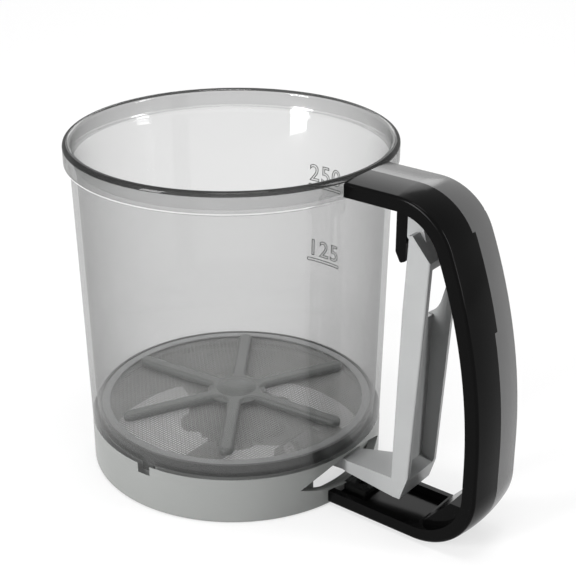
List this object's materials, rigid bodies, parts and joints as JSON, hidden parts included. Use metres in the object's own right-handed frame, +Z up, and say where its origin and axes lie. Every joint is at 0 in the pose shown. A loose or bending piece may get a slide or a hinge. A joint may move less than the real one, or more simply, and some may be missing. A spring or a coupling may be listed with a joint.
{
  "type": "flour sifter",
  "caption": "Clear cup with a fine sieve and a six-armed agitator, turned through a toothed slide by the trigger in its strap handle.",
  "frame": {"origin": "centre of the cup's foot, on the surface it stands on", "axes": "+Z up along the cup, +X from the cup towards the handle"},
  "size_m": [0.162, 0.1108, 0.118],
  "materials": {
    "smoke_clear": "clear smoke grey, polished",
    "frame_grey": "satin moulded",
    "hoop_grey": "satin moulded",
    "ring_black": "satin moulded",
    "steel": "bright drawn",
    "bush_white": "smooth",
    "handle_black": "polished",
    "trigger_grey": "satin moulded",
    "slide_grey": "satin moulded",
    "star_grey": "satin moulded",
    "wheel_grey": "satin moulded"
  },
  "bodies": {
    "cup": {"cup_shell": "smoke_clear", "base_frame": "frame_grey", "sieve_gasket": "ring_black", "hoop_lower": "frame_grey", "hoop_upper": "hoop_grey", "sieve_mesh": "steel", "mesh_eyelet": "steel", "spindle_bush": "bush_white", "handle_left_shell": "handle_black", "handle_right_shell": "handle_black", "handle_screws": "steel", "lug_screw": "steel", "pivot_pin": "steel", "return_spring": "steel"},
    "trigger": {"trigger_lever": "trigger_grey", "link_pin": "steel", "link_pin_clips": "steel"},
    "slide": {"rack_slide": "slide_grey"},
    "agitator": {"agitator_star": "star_grey", "drive_wheel": "wheel_grey", "stem_washer": "steel", "stem_screw": "steel"}
  },
  "joints": [
    {"name": "trigger_pivot", "type": "hinge", "parent": "cup", "child": "trigger", "pos_m": [0.075, 0, 0.1139], "axis": [0, -1, 0], "range_deg": [0, 7], "stiffness_Nm_per_rad": 0.1, "springref_deg": -11.46, "deforming": ["return_spring"]},
    {"name": "slide_run", "type": "slide", "parent": "cup", "child": "slide", "axis": [1, 0, 0], "range_m": [0, 0.01285]},
    {"name": "agitator_spin", "type": "hinge", "parent": "cup", "child": "agitator", "pos_m": [0, 0, 0.01], "axis": [0, 0, -1], "range_deg": [0, 58.8]}
  ],
  "couplings": [
    {"joint": "slide_run", "follows": "trigger_pivot", "m_per_rad": 0.10489},
    {"joint": "agitator_spin", "follows": "trigger_pivot", "ratio": 8.3913}
  ]
}
